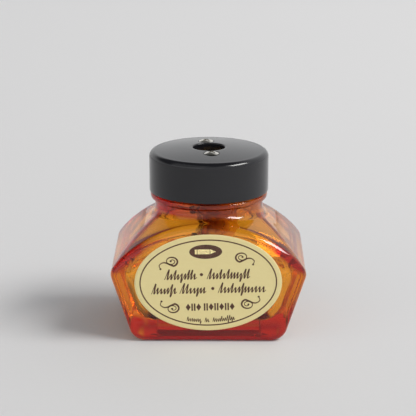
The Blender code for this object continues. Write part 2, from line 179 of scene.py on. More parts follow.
# What is printed on the label: millimetres to the right of its middle and up
BORDER_INSET = 1.42
BORDER_HALF_WIDTH = 0.16
SCROLLS = (((-8.9, 5.8), 1, 1), ((8.35, 6.55), -1, 1), ((-8.9, -6.6), 1, -1), ((9.6, -5.85), -1, -1))
SCRIPT_SLANT = 0.28
SCRIPT_RUNS = (
    (-10.9, -3.3, 1.0),
    (-0.3, 10.3, 1.0),
    (-14.3, -8.4, -2.7),
    (-7.2, -0.4, -2.7),
    (2.4, 14.2, -2.7),
)
SCRIPT_DOTS = ((-1.65, 2.2), (1.1, -1.5))
BOLD_LINE = (-7.3, -5.4)
ICON_CENTRE = (-0.45, 8.15)
ICON_HALF = (4.1, 1.85)
BROWN_INK = (0.085, 0.040, 0.024)
BARE_PAPER = (0.80, 0.68, 0.33)

# The studio's light: a bright backdrop all round up to a dark ceiling, less bright on the front side
WALL_LIGHT = 0.86
CEILING_LIGHT = 0.07
WALL_TOP = (0.5, 0.8)
WALL_TOP_LEAN = 0.35  # how much lower the bright part ends on the left than on the right
FRONT_SHARE = 0.8
FLOOR_RADIUS = 6.0  # metres
FLOOR_SEGMENTS = 96
LIGHT_BOUNCES = 40  # enough for light that is caught inside thick glass
DIFFUSE_BOUNCES = 8

LATHE_SEGMENTS = 192
SMALL_SEGMENTS = 64


# Camera and stage


def make_camera():
    data = bpy.data.cameras.new("camera")
    data.lens = 151.0
    data.sensor_width = 36.0
    data.clip_start = 0.01
    camera = bpy.data.objects.new("camera", data)
    bpy.context.scene.collection.objects.link(camera)
    down, yaw, distance, target = radians(15.85), radians(0.5), 0.45, 0.03013
    place = Vector((-0.00022, -distance * cos(down), target + distance * sin(down)))
    camera.location = Matrix.Rotation(yaw, 3, "Z") @ place
    camera.rotation_euler = (pi / 2 - down, 0, yaw)
    bpy.context.scene.camera = camera


def area_light(name, direction, distance, size, power, colour):
    data = bpy.data.lights.new(name, "AREA")
    data.shape = "RECTANGLE"
    data.size, data.size_y = size
    data.energy = power
    data.color = colour
    light = bpy.data.objects.new(name, data)
    bpy.context.scene.collection.objects.link(light)
    aim = Vector((0, 0, 0.02))
    light.location = aim + Vector(direction).normalized() * distance
    light.rotation_euler = (light.location - aim).to_track_quat("Z", "Y").to_euler()


def make_stage():
    world = bpy.data.worlds.new("studio")
    bpy.context.scene.world = world
    world.use_nodes = True
    nodes, links = world.node_tree.nodes, world.node_tree.links
    direction = nodes.new("ShaderNodeSeparateXYZ")
    links.new(nodes.new("ShaderNodeTexCoord").outputs["Generated"], direction.inputs["Vector"])
    height = nodes.new("ShaderNodeMapRange")
    height.interpolation_type = "SMOOTHSTEP"
    depth = nodes.new("ShaderNodeMapRange")
    for node, axis, values in (
        (height, "Z", (WALL_TOP[0], WALL_TOP[1], WALL_LIGHT, CEILING_LIGHT)),
        (depth, "Y", (-0.6, 0.6, FRONT_SHARE, 1.0)),
    ):
        for name, value in zip(("From Min", "From Max", "To Min", "To Max"), values):
            node.inputs[name].default_value = value
        links.new(direction.outputs[axis], node.inputs["Value"])
    leaning = nodes.new("ShaderNodeMath")
    leaning.operation = "MULTIPLY_ADD"
    leaning.inputs[1].default_value = -WALL_TOP_LEAN
    links.new(direction.outputs["X"], leaning.inputs[0])
    links.new(direction.outputs["Z"], leaning.inputs[2])
    links.new(leaning.outputs[0], height.inputs["Value"])
    strength = nodes.new("ShaderNodeMath")
    strength.operation = "MULTIPLY"
    links.new(height.outputs["Result"], strength.inputs[0])
    links.new(depth.outputs["Result"], strength.inputs[1])
    background = nodes["Background"]
    background.inputs["Color"].default_value = (0.985, 0.99, 1.0, 1.0)
    links.new(strength.outputs[0], background.inputs["Strength"])
    area_light("key_softbox", (0.67, -0.2, 0.71), 2.0, (1.1, 0.5), 26.0, (1.0, 0.985, 0.965))
    area_light("fill_softbox", (-0.55, -0.55, 0.63), 2.0, (2.4, 2.2), 7.5, (0.985, 0.99, 1.0))

    look = Look("studio_floor", roughness=0.75, specular=0.2)
    speckle = look.noise(scale=900, detail=3)
    # Painted light: the floor's colour is made lighter from front to back, standing in for brighter light
    # further back
    near = look.blend(speckle, (0.725, 0.725, 0.732), (0.745, 0.745, 0.75))
    far = look.blend(speckle, (0.90, 0.90, 0.907), (0.92, 0.92, 0.925))
    along = look.nodes.new("ShaderNodeSeparateXYZ")
    look.links.new(look.place, along.inputs["Vector"])
    look.set("Base Color", look.blend(look.between(along.outputs["Y"], 0.0, 1.0, -0.1, 0.5), near, far))
    look.bump(speckle, strength=0.05, distance=0.05)
    ground = bmesh.new()
    bmesh.ops.create_circle(ground, cap_ends=True, radius=FLOOR_RADIUS, segments=FLOOR_SEGMENTS)
    floor = finish_mesh("studio_floor", ground, look.material)


# Materials


class Look:
    """A material in the making: its Principled shader and the few node groups that feed it."""

    def __init__(self, name, roughness=0.5, metallic=0.0, specular=0.5, ior=1.5):
        self.material = bpy.data.materials.new(name)
        self.material.use_nodes = True
        self.nodes = self.material.node_tree.nodes
        self.links = self.material.node_tree.links
        self.shader = self.nodes["Principled BSDF"]
        self.shader.inputs["Roughness"].default_value = roughness
        self.shader.inputs["Metallic"].default_value = metallic
        self.shader.inputs["Specular IOR Level"].default_value = specular
        self.shader.inputs["IOR"].default_value = ior
        self.place = self.nodes.new("ShaderNodeTexCoord").outputs["Object"]

    def put(self, source, socket):
        if isinstance(source, bpy.types.NodeSocket):
            self.links.new(source, socket)
        else:
            socket.default_value = (*source, 1.0) if isinstance(source, tuple) else source

    def set(self, name, source):
        self.put(source, self.shader.inputs[name])

    def stretched(self, stretch, centre=(0, 0, 0)):
        """The object's coordinates, scaled by stretch along each axis."""
        node = self.nodes.new("ShaderNodeMapping")
        node.vector_type = "TEXTURE"
        node.inputs["Location"].default_value = centre
        node.inputs["Scale"].default_value = stretch
        self.links.new(self.place, node.inputs["Vector"])
        return node.outputs["Vector"]

    def attribute(self, name):
        """A number that each of the mesh's points carries."""
        node = self.nodes.new("ShaderNodeAttribute")
        node.attribute_name = name
        return node.outputs["Fac"]

    def noise(self, scale, detail=4, stretch=(1, 1, 1), distortion=0.0, centre=(0, 0, 0)):
        node = self.nodes.new("ShaderNodeTexNoise")
        node.inputs["Scale"].default_value = scale
        node.inputs["Detail"].default_value = detail
        node.inputs["Distortion"].default_value = distortion
        self.links.new(self.stretched(stretch, centre), node.inputs["Vector"])
        return node.outputs["Fac"]

    def rings(self, scale, distortion, centre=(0, 0, 0), axis="Z"):
        """Fine rings round an axis, as a lathe leaves."""
        node = self.nodes.new("ShaderNodeTexWave")
        node.wave_type = "RINGS"
        node.rings_direction = axis
        node.inputs["Scale"].default_value = scale
        node.inputs["Distortion"].default_value = distortion
        node.inputs["Detail"].default_value = 3
        self.links.new(self.stretched((1, 1, 1), centre), node.inputs["Vector"])
        return node.outputs["Fac"]

    def between(self, source, low, high, start=0.0, end=1.0):
        """A number from low to high as source goes from start to end."""
        node = self.nodes.new("ShaderNodeMapRange")
        for name, value in (("From Min", start), ("From Max", end), ("To Min", low), ("To Max", high)):
            node.inputs[name].default_value = value
        self.links.new(source, node.inputs["Value"])
        return node.outputs["Result"]

    def blend(self, source, first, second):
        """A colour between first and second."""
        node = self.nodes.new("ShaderNodeMix")
        node.data_type = "RGBA"
        self.links.new(source, node.inputs["Factor"])
        self.put(first, node.inputs[6])
        self.put(second, node.inputs[7])
        return node.outputs[2]

    def bump(self, source, strength, distance):
        """Relief from a pattern, distance millimetres high."""
        node = self.nodes.new("ShaderNodeBump")
        node.inputs["Strength"].default_value = strength
        node.inputs["Distance"].default_value = distance * MM
        self.links.new(source, node.inputs["Height"])
        self.links.new(node.outputs["Normal"], self.shader.inputs["Normal"])


def glass_look():
    """Glass with an amber coat on its outside, with a deeper red painted on as shade along its hips, edges,
    neck and foot, and a little colour of its own in its depth."""
    look = Look("amber_glass", roughness=0.012, ior=1.5)
    ripple = look.noise(scale=95, detail=2, stretch=(1, 1, 2.2))
    coat = look.blend(ripple, COAT_THIN[0], COAT_THIN[1])
    # Painted shade: a deeper red laid into the coat's colour along the hips, edges, neck and foot
    coat = look.blend(look.attribute("painted_shade"), coat, PAINTED_SHADE_RED)
    look.set("Base Color", look.blend(look.attribute("coated"), (1.0, 1.0, 1.0), coat))
    look.set("Transmission Weight", 1.0)
    look.bump(ripple, strength=0.25, distance=0.25)
    depth = look.nodes.new("ShaderNodeVolumeAbsorption")
    depth.inputs["Color"].default_value = GLASS_TINT
    depth.inputs["Density"].default_value = GLASS_DENSITY
    output = look.nodes["Material Output"]
    look.links.new(depth.outputs["Volume"], output.inputs["Volume"])
    return look.material


def plastic_look():
    look = Look("black_plastic", roughness=0.16)
    grain = look.noise(scale=2600, detail=3)
    cloud = look.noise(scale=160, detail=5, distortion=0.4)
    look.set("Base Color", look.blend(cloud, (0.008, 0.008, 0.010), (0.013, 0.013, 0.016)))
    look.set("Roughness", look.between(cloud, 0.11, 0.19, 0.3, 0.7))
    look.bump(grain, strength=0.05, distance=0.02)
    return look.material


def paper_look():
    look = Look("label_paper", roughness=0.62, specular=0.35)
    fibre = look.noise(scale=1700, detail=6, stretch=(2.6, 1, 1))
    cloud = look.noise(scale=140, detail=4)
    warm = look.blend(fibre, (0.83, 0.705, 0.335), (0.88, 0.765, 0.385))
    look.set("Base Color", look.blend(look.between(cloud, 0.0, 0.5), warm, (0.845, 0.72, 0.355)))
    look.set("Roughness", look.between(fibre, 0.52, 0.7))
    look.bump(fibre, strength=0.2, distance=0.03)
    return look.material


def ink_look(name, colour):
    """Printed ink, a little uneven where the paper took less of it."""
    look = Look(name, roughness=0.5, specular=0.3)
    speckle = look.noise(scale=5200, detail=3)
    pale = tuple(channel * 1.9 + 0.02 for channel in colour)
    look.set("Base Color", look.blend(look.between(speckle, 0.0, 1.0, 0.42, 0.75), colour, pale))
    look.set("Roughness", look.between(speckle, 0.42, 0.6))
    return look.material


def brass_look():
    look = Look("brass", roughness=0.3, metallic=1.0)
    mill = look.noise(scale=700, detail=4, stretch=(1, 1, 14))
    cloud = look.noise(scale=220, detail=4)
    base = look.blend(cloud, (0.93, 0.70, 0.33), (0.86, 0.60, 0.25))
    look.set("Base Color", base)
    look.set("Roughness", look.between(mill, 0.22, 0.42, 0.3, 0.7))
    look.bump(mill, strength=0.25, distance=0.03)
    return look.material


def steel_look():
    look = Look("blade_steel", roughness=0.2, metallic=1.0)
    brushed = look.noise(scale=420, detail=5, stretch=(26, 26, 1))
    look.set("Base Color", look.blend(brushed, (0.60, 0.60, 0.62), (0.50, 0.50, 0.515)))
    look.set("Roughness", look.between(brushed, 0.14, 0.34, 0.3, 0.7))
    look.bump(brushed, strength=0.2, distance=0.02)
    return look.material


def screw_look(name, colour, centre):
    """Plated steel with the rings that turning leaves, and duller patches where a driver has been."""
    look = Look(name, roughness=0.2, metallic=1.0)
    rings = look.rings(scale=900, distortion=0.6, centre=centre)
    cloud = look.noise(scale=900, detail=4)
    dull = tuple(channel * 0.72 for channel in colour)
    look.set("Base Color", look.blend(cloud, colour, dull))
    look.set("Roughness", look.between(cloud, 0.12, 0.36, 0.3, 0.7))
    look.bump(rings, strength=0.15, distance=0.02)
    return look.material


def foam_look():
    look = Look("seal_foam", roughness=0.9, specular=0.2)
    cells = look.nodes.new("ShaderNodeTexVoronoi")
    cells.inputs["Scale"].default_value = 3200
    look.links.new(look.place, cells.inputs["Vector"])
    look.set("Base Color", look.blend(cells.outputs["Distance"], (0.62, 0.60, 0.55), (0.80, 0.785, 0.74)))
    look.bump(cells.outputs["Distance"], strength=0.5, distance=0.08)
    return look.material


# Mesh helpers


def finish_mesh(name, mesh_builder, finish, sharp=35):
    """A shown object from a bmesh, shaded smooth but for its sharp edges."""
    bmesh.ops.recalc_face_normals(mesh_builder, faces=mesh_builder.faces)
    mesh = bpy.data.meshes.new(name)
    mesh_builder.to_mesh(mesh)
    mesh_builder.free()
    mesh.shade_smooth()
    mesh.set_sharp_from_angle(angle=radians(sharp))
    made = bpy.data.objects.new(name, mesh)
    bpy.context.scene.collection.objects.link(made)
    mesh.materials.append(finish)
    return made


def ride(piece, body, slot, *nodes):
    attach(piece, body)
    if nodes:
        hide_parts(*nodes)
    return piece


def loft(rings, closed_round=False):
    """A closed body through rings of equally many points in millimetres, capped unless closed round."""
    made = bmesh.new()
    loops = [[made.verts.new(Vector(point) * MM) for point in ring] for ring in rings]
    count = len(rings[0])
    followers = loops[1:] + (loops[:1] if closed_round else [])
    for loop, after in zip(loops, followers):
        for i in range(count):
            j = (i + 1) % count
            made.faces.new((loop[i], loop[j], after[j], after[i]))
    if not closed_round:
        made.faces.new(loops[0])
        made.faces.new(loops[-1])
    return made


def turned(profile, segments=LATHE_SEGMENTS, hollow=False):
    """A body turned about Z from (radius, height) points."""
    angles = [2 * pi * i / segments for i in range(segments)]
    rings = [[(r * cos(a), r * sin(a), z) for a in angles] for r, z in profile]
    return loft(rings, closed_round=hollow)


def arc(centre, radius, start, end, steps):
    cx, cy = centre
    turns = [start + (end - start) * i / steps for i in range(steps + 1)]
    return [(cx + radius * cos(t), cy + radius * sin(t)) for t in turns]


def evenly(start, end, steps):
    """Points on the straight line between two points, without either end."""
    (ax, ay), (bx, by) = start, end
    return [(ax + (bx - ax) * i / steps, ay + (by - ay) * i / steps) for i in range(1, steps)]


def box_of(low, high):
    made = bmesh.new()
    bmesh.ops.create_cube(made, size=1.0)
    size = Vector(high) - Vector(low)
    bmesh.ops.scale(made, vec=size * MM, verts=made.verts)
    bmesh.ops.translate(made, vec=(Vector(high) + Vector(low)) / 2 * MM, verts=made.verts)
    return made


def placed(mesh_builder, matrix):
    """The same mesh, moved by a matrix in millimetres."""
    scaled = matrix.copy()
    scaled.translation = matrix.translation * MM
    bmesh.ops.transform(mesh_builder, matrix=scaled, verts=mesh_builder.verts)
    return mesh_builder


def combine(target, operation, tools):
    """Joins the tools to the target or cuts them from it, for good."""
    helpers = []
    for tool in tools:
        mesh = bpy.data.meshes.new("helper")
        bmesh.ops.recalc_face_normals(tool, faces=tool.faces)
        tool.to_mesh(mesh)
        tool.free()
        mesh.shade_smooth()
        helper = bpy.data.objects.new("helper", mesh)
        bpy.context.scene.collection.objects.link(helper)
        helpers.append(helper)
        step = target.modifiers.new("step", "BOOLEAN")
        step.operation, step.object, step.solver = operation, helper, "EXACT"
    keep_modifiers(target)
    for helper in helpers:
        bpy.data.objects.remove(helper)


def keep_modifiers(target):
    """Makes the result of an object's modifiers its own mesh."""
    graph = bpy.context.evaluated_depsgraph_get()
    mesh = bpy.data.meshes.new_from_object(target.evaluated_get(graph))
    target.modifiers.clear()
    target.data = mesh


def soften(target, width, segments=2, angle=35):
    """Rounds the sharp edges of a finished body."""
    step = target.modifiers.new("soften", "BEVEL")
    step.width = width * MM
    step.segments = segments
    step.limit_method = "ANGLE"
    step.angle_limit = radians(angle)
    step.harden_normals = False
    keep_modifiers(target)
    target.data.shade_smooth()
    target.data.set_sharp_from_angle(angle=radians(angle))


def turn_with_lid(target):
    target.data.transform(Matrix.Rotation(SHARPENER_YAW, 4, "Z"))


# Bottle: a distance field, meshed


def house_outline(wall, floor, corner, ridge):
    """Half of the bottle's front outline as (x, z) points, from the middle of its base round its right side
    to the middle of its arched shoulder, wall inside the outer faces."""
    side_offset = BASE_HALF * cos(SIDE_LEAN) - wall
    corner_z = floor + corner
    corner_x = (side_offset - corner + corner_z * sin(SIDE_LEAN)) / cos(SIDE_LEAN)
    arch_centre = Vector((0.0, SHOULDER_TOP - SHOULDER_RADIUS))
    arch_radius = SHOULDER_RADIUS - wall
    foot = Vector((cos(SIDE_LEAN), -sin(SIDE_LEAN))) * (side_offset - ridge) - arch_centre
    along = Vector((sin(SIDE_LEAN), cos(SIDE_LEAN)))
    reach = foot.dot(along)
    climb = -reach + sqrt(reach**2 - foot.length_squared + (arch_radius - ridge) ** 2)
    to_ridge = foot + along * climb
    arch_start = atan2(to_ridge.y, to_ridge.x)
    points = [(0.0, floor)]
    points += arc((corner_x, corner_z), corner, -pi / 2, -SIDE_LEAN, 12)
    points += arc(arch_centre + to_ridge, ridge, -SIDE_LEAN, arch_start, 14)
    points += arc(arch_centre, arch_radius, arch_start, pi / 2, 28)[1:]
    return points


def neck_outline():
    """Half of the neck's outside as (radius, z) points, from inside the shoulder up to the rim."""
    low, high = BEAD_Z
    fillet = 0.35
    points = [(0.0, NECK_ROOT), (NECK_RADIUS, NECK_ROOT)]
    points += arc((NECK_RADIUS + fillet, low - fillet), fillet, pi, pi / 2, 4)
    points += arc((BEAD_RADIUS - BEAD_ROUND, low + BEAD_ROUND), BEAD_ROUND, -pi / 2, 0, 6)
    points += arc((BEAD_RADIUS - fillet, high - fillet), fillet, 0, pi / 2, 4)
    points += arc((FINISH_RADIUS + fillet, high + fillet), fillet, -pi / 2, -pi, 4)
    points += arc((FINISH_RADIUS - RIM_ROUND, RIM_Z - RIM_ROUND), RIM_ROUND, 0, pi / 2, 6)
    return points + [(0.0, RIM_Z)]


def outline_distance(across, up, outline):
    """How far points are from half of an outline that is closed by the line across = 0. Negative inside."""
    shape = np.broadcast(across, up).shape
    nearest = np.full(shape, np.inf)
    inside = np.zeros(shape, bool)
    for (ax, az), (bx, bz) in zip(outline, outline[1:]):
        ex, ez = bx - ax, bz - az
        wx, wz = across - ax, up - az
        share = np.clip((wx * ex + wz * ez) / (ex * ex + ez * ez), 0, 1)
        nearest = np.minimum(nearest, (wx - ex * share) ** 2 + (wz - ez * share) ** 2)
        if abs(ez) > 1e-9:
            inside ^= ((az > up) != (bz > up)) & (across < ax + ex * (up - az) / ez)
    return np.where(inside, -1, 1) * np.sqrt(nearest)


def run_through(distance, depth, half_depth, radius):
    """An outline run from front to back with its outer edges rounded."""
    a, b = distance + radius, np.abs(depth) - half_depth + radius
    outside = np.hypot(np.maximum(a, 0), np.maximum(b, 0))
    return np.minimum(np.maximum(a, b), 0) + outside - radius


def round_union(a, b, radius):
    return np.maximum(radius, np.minimum(a, b)) - np.hypot(
        np.maximum(radius - a, 0), np.maximum(radius - b, 0)
    )


def round_cut(a, b, radius):
    return -round_union(-a, b, radius)


def crown_height(x, y, z):
    """How far the shoulder is raised over its arch, like a low hipped roof that leads up to the neck."""
    share = np.clip((z - HIP_FROM[0]) / (HIP_FROM[1] - HIP_FROM[0]), 0, 1)
    front, side = BODY_HALF_DEPTH - np.abs(y), HIP_HALF_WIDTH - np.abs(x)
    mix = np.clip(0.5 + 0.5 * (side - front) / HIP_ROUND, 0, 1)
    low = side + (front - side) * mix - HIP_ROUND * mix * (1 - mix)
    return HIP_SLOPE * np.maximum(low, 0) * share * share * (3 - 2 * share)


def thread_height(x, y, z):
    """How far the neck's thread stands out of the wall."""
    base = np.mod(np.arctan2(y, x) / (2 * pi), 1.0)
    height = 0.0
    for lap in range(2):
        turn = base + lap
        rise = np.clip(np.minimum(turn, NECK_THREAD_TURNS - turn) / THREAD_FADE, 0, 1)
        off = np.abs(z - NECK_THREAD_START - LEAD * turn) * 2
        slope = (THREAD_ROOT_WIDTH - off) / (THREAD_ROOT_WIDTH - THREAD_CREST_WIDTH)
        slope = np.clip(slope, 0, 1)
        height = np.maximum(height, NECK_THREAD_RISE * rise * slope * slope * (3 - 2 * slope))
    return height


def unevenness(x, y, z):
    """The slow waves that pressing leaves in the inner face, in millimetres."""
    return (
        0.022 * np.sin(0.52 * x + 0.23 * z + 1.3)
        + 0.018 * np.sin(0.61 * y - 0.37 * z + 0.4)
        + 0.012 * np.sin(0.93 * x - 0.55 * y + 0.31 * z)
    )


class Glass:
    """The bottle's glass as a distance field."""

    def __init__(self):
        self.outer = house_outline(0.0, 0.0, CORNER_RADIUS, RIDGE_RADIUS)
        self.inner = house_outline(WALL, FLOOR, INNER_CORNER_RADIUS, INNER_RIDGE_RADIUS)
        self.neck = neck_outline()

    def distance(self, x, y, z):
        side = np.abs(x)
        radius = np.hypot(x, y)
        level = z - crown_height(x, y, z)
        outer = outline_distance(side, level, self.outer)
        body = run_through(outer, y, BODY_HALF_DEPTH, ARRIS_RADIUS)
        neck = outline_distance(radius, z, self.neck) - thread_height(x, y, z)
        glass = round_union(body, neck, NECK_FILLET)
        inner = outline_distance(side, level, self.inner)
        cavity = run_through(inner, y, BODY_HALF_DEPTH - FACE_WALL, INNER_ARRIS_RADIUS)
        cavity = cavity + unevenness(x, y, z)
        bore = np.maximum(radius - NECK_BORE, NECK_ROOT - z)
        cavity = round_union(cavity, bore, BORE_FILLET)
        glass = round_cut(glass, cavity, RIM_ROUND)
        wide, deep, high = BASE_HOLLOW
        a = side - wide + BASE_HOLLOW_CORNER
        b = np.abs(y) - deep + BASE_HOLLOW_CORNER
        plan = np.minimum(np.maximum(a, b), 0) - BASE_HOLLOW_CORNER
        plan = plan + np.hypot(np.maximum(a, 0), np.maximum(b, 0))
        hollow = np.maximum(plan, z - high)
        return round_cut(glass, hollow, BASE_HOLLOW_ROUND) + GLASS_INSET

    def coat(self, x, y, z):
        """Which points the coat is on, and how much painted shade is laid into its colour there as a deeper
        red:
        along the hips and the edges near the corners, round the neck and on the foot, more on the left."""
        level = z - crown_height(x, y, z)
        outer = outline_distance(np.abs(x), level, self.outer)
        inner = outline_distance(np.abs(x), level, self.inner)
        cavity = run_through(inner, y, BODY_HALF_DEPTH - FACE_WALL, INNER_ARRIS_RADIUS)
        bore = np.maximum(np.hypot(x, y) - NECK_BORE, NECK_ROOT - z)
        inside = (z > 0.5 * FLOOR) & (np.minimum(cavity, bore) < 0.5 * (FINISH_RADIUS - NECK_BORE))

        front, side = BODY_HALF_DEPTH - np.abs(y), HIP_HALF_WIDTH - np.abs(x)
        above_ridge = np.clip((z - RIDGE_Z) / RIDGE_FADE, 0, 1)
        # Painted shade on the hips, heavier on the left, away from the key light
        hip_shade_share = np.clip(HIP_SHADE_MIDDLE - HIP_SHADE_SLOPE * x, HIP_SHADE_LEAST, 1)
        hip_width = HIP_SHADE[0] - HIP_SHADE[1] * side
        hip = np.clip(HIP_SHADE_GAIN * (1 - np.abs(front - side) / hip_width), 0, 1)
        hip = hip * above_ridge * hip_shade_share
        edge_width = EDGE_SHADE[0] + (EDGE_SHADE[1] - EDGE_SHADE[0]) * above_ridge
        edge = np.clip(1 + outer / edge_width, 0, 1) * np.clip(1 - front / edge_width, 0, 1)
        edge = np.clip(EDGE_SHADE_GAIN * edge, 0, 1) * (z < SHOULDER_TOP)
        edge = edge * np.clip((np.abs(x) - EDGE_SHADE_FROM) / EDGE_SHADE_FADE, 0, 1)
        low, high, reach = FOOT_SHADE
        foot = np.clip((high - z) / (high - low), 0, 1)
        foot = foot * np.clip((reach - np.abs(x - FOOT_SHADE_MIDDLE)) / FOOT_SHADE_FADE, 0, 1)
        neck = np.clip((z - NECK_SHADE[0]) / NECK_SHADE_FADE, 0, 1)
        # Painted shade round the neck, heavier on the left, away from the key light
        neck = neck * np.clip(NECK_SHADE[1] - NECK_SHADE_SLOPE * x, 0, 1)
        neck = neck * np.clip((RIM_Z - FINISH_SHADE_FADE - z) / FINISH_SHADE_FADE, FINISH_SHADE_LEAST, 1)
        painted_shade = np.maximum(np.maximum(hip, edge), np.maximum(foot, neck))
        return np.where(inside, 0.0, 1.0), painted_shade

    def field(self, grid):
        """The distances on a lattice, a slab of z at a time."""
        gx, gy, gz = grid
        slabs = []
        for start in range(0, len(gz), 8):
            z = gz[None, None, start : start + 8]
            slabs.append(self.distance(gx[:, None, None], gy[None, :, None], z))
        return np.concatenate(slabs, axis=2)

    def slope(self, points):
        """The distance at each point and its gradient, from four samples round it."""
        step = 0.004
        total, gradient = 0.0, np.zeros_like(points)
        for corner in ((1, -1, -1), (-1, -1, 1), (-1, 1, -1), (1, 1, 1)):
            corner = np.array(corner, float)
            sample = self.distance(*(points + corner * step).T)
            total = total + sample / 4
            gradient += sample[:, None] * corner / (4 * step)
        return total, gradient


def surface_nets(values, grid):
    """Points and four-sided faces of a field's zero surface, with one point in each cell that it crosses."""
    inside = values < 0
    cells = tuple(n - 1 for n in values.shape)
    total = np.zeros((*cells, 3))
    crossings = np.zeros(cells)
    for axis in range(3):
        low = [slice(None)] * 3
        high = [slice(None)] * 3
        low[axis], high[axis] = slice(None, -1), slice(1, None)
        a, b = values[tuple(low)], values[tuple(high)]
        crossed = (a < 0) != (b < 0)
        share = np.where(crossed, a / np.where(crossed, a - b, 1), 0)
        others = [i for i in range(3) if i != axis]
        for first in (0, 1):
            for second in (0, 1):
                pick = [slice(None)] * 3
                pick[others[0]] = slice(first, first + cells[others[0]])
                pick[others[1]] = slice(second, second + cells[others[1]])
                hit = crossed[tuple(pick)]
                crossings += hit
                total[..., axis] += share[tuple(pick)] * hit
                total[..., others[0]] += first * hit
                total[..., others[1]] += second * hit
    used = crossings > 0
    number = np.full(cells, -1)
    number[used] = np.arange(used.sum())
    origin = np.array([g[0] for g in grid])
    step = grid[0][1] - grid[0][0]
    points = origin + (np.argwhere(used) + total[used] / crossings[used][:, None]) * step

    faces = []
    for axis in range(3):
        u, v = (axis + 1) % 3, (axis + 2) % 3
        low = [slice(1, -1)] * 3
        low[axis] = slice(0, -1)
        high = list(low)
        high[axis] = slice(1, None)
        before, after = inside[tuple(low)], inside[tuple(high)]
        at = np.argwhere(before != after)
        at[:, u] += 1
        at[:, v] += 1
        corners = []
        for du, dv in ((1, 1), (0, 1), (0, 0), (1, 0)):
            cell = at.copy()
            cell[:, u] -= du
            cell[:, v] -= dv
            corners.append(number[cell[:, 0], cell[:, 1], cell[:, 2]])
        quads = np.stack(corners, axis=1)
        flip = ~before[before != after]
        quads[flip] = quads[flip][:, ::-1]
        faces.append(quads)
    return points, np.concatenate(faces)


def make_bottle():
    glass = Glass()
    margin = 1.1 * GLASS_PITCH
    reach = [HIP_HALF_WIDTH + margin, BODY_HALF_DEPTH + margin]
    grid = [np.arange(-r, r + GLASS_PITCH, GLASS_PITCH) for r in reach]
    grid.append(np.arange(-margin, RIM_Z + margin, GLASS_PITCH))
    points, faces = surface_nets(glass.field(grid), grid)
    for _ in range(3):
        distance, gradient = glass.slope(points)
        length = np.maximum((gradient**2).sum(axis=1), 0.25)
        move = np.clip(distance / length, -GLASS_PITCH, GLASS_PITCH)
        points = points - gradient * move[:, None]
    gradient = glass.slope(points)[1]
    normals = gradient / np.maximum(np.linalg.norm(gradient, axis=1), 1e-6)[:, None]
    mesh = bpy.data.meshes.new("amber_bottle")
    mesh.from_pydata((points * MM).tolist(), [], faces.tolist())
    mesh.validate()
    mesh.shade_smooth()
    for name, values in zip(("coated", "painted_shade"), glass.coat(*points.T)):
        mesh.attributes.new(name, "FLOAT", "POINT").data.foreach_set("value", values.astype(np.float32))
    mesh.normals_split_custom_set_from_vertices(normals.tolist())
    mesh.materials.append(glass_look())
    bottle = bpy.data.objects.new("amber_bottle", mesh)
    bpy.context.scene.collection.objects.link(bottle)
    ride(bottle, "bottle", "amber_glass", "glass_bottle")


# Label


def on_label(u, v, front=PAPER_FRONT):
    """A point of the label, u to the right and v up from its middle, in millimetres."""
    x = u * cos(LABEL_TILT) - v * sin(LABEL_TILT)
    z = u * sin(LABEL_TILT) + v * cos(LABEL_TILT)
    return (x, -front, LABEL_Z + z)


def make_paper():
    """The oval, cut a little unevenly, with a soft edge."""
    steps, rings = 160, []
    profile = [(1.0, PAPER_FRONT - PAPER_THICKNESS), (1.0, PAPER_FRONT - 0.03)]
    profile += [(0.998, PAPER_FRONT)]
    profile += [(share, PAPER_FRONT) for share in (0.97, 0.9, 0.75, 0.5, 0.25, 0.04)]
    back = [(share, PAPER_FRONT - PAPER_THICKNESS) for share in (0.04, 0.3, 0.6, 0.9)]
    for share, front in back + profile:
        ring = []
        for i in range(steps):
            a = 2 * pi * i / steps
            cut = 1 - 0.0012 * (1 + sin(3 * a + 1.1)) * (share > 0.95)
            u = LABEL_HALF[0] * share * cut * cos(a)
            v = LABEL_HALF[1] * share * cut * sin(a)
            ring.append(on_label(u, v, front))
        rings.append(ring)
    paper = finish_mesh("label_paper", loft(rings), paper_look(), sharp=50)
    ride(paper, "bottle", "label_paper", "front_label")


def add_stroke(mesh_builder, points, half_widths, closed=False, layer=INK_LAYER):
    """A flat, thin stroke of ink along (u, v) points, with its own half width at each."""
    count = len(points)
    corners = []
    for i, (u, v) in enumerate(points):
        if closed:
            (au, av), (bu, bv) = points[i - 1], points[(i + 1) % count]
        else:
            (au, av), (bu, bv) = points[max(i - 1, 0)], points[min(i + 1, count - 1)]
        length = hypot(bu - au, bv - av) or 1.0
        nu, nv = -(bv - av) / length * half_widths[i], (bu - au) / length * half_widths[i]
        ends = []
        for height in layer:
            for side in (1, -1):
                place = Vector(on_label(u + side * nu, v + side * nv, PAPER_FRONT + height)) * MM
                ends.append(mesh_builder.verts.new(place))
        corners.append((ends[0], ends[1], ends[3], ends[2]))
    pairs = list(zip(corners, corners[1:] + corners[:1])) if closed else list(zip(corners, corners[1:]))
    for a, b in pairs:
        for i in range(4):
            j = (i + 1) % 4
            mesh_builder.faces.new((a[i], a[j], b[j], b[i]))
    if not closed:
        mesh_builder.faces.new(corners[0])
        mesh_builder.faces.new(corners[-1])


def spaced(points, step=0.12):
    """The points of a smooth curve through the given ones, about step apart."""
    found = []
    padded = [points[0]] + list(points) + [points[-1]]
    for p, a, b, q in zip(padded, padded[1:], padded[2:], padded[3:]):
        steps = max(2, round(hypot(b[0] - a[0], b[1] - a[1]) / step))
        for i in range(steps):
            t = i / steps
            found.append(
                tuple(
                    0.5
                    * (2 * a[k] + (b[k] - p[k]) * t + (2 * p[k] - 5 * a[k] + 4 * b[k] - q[k]) * t**2
                       + (3 * a[k] - p[k] - 3 * b[k] + q[k]) * t**3)
                    for k in (0, 1)
                )
            )
    return found + [tuple(points[-1])]


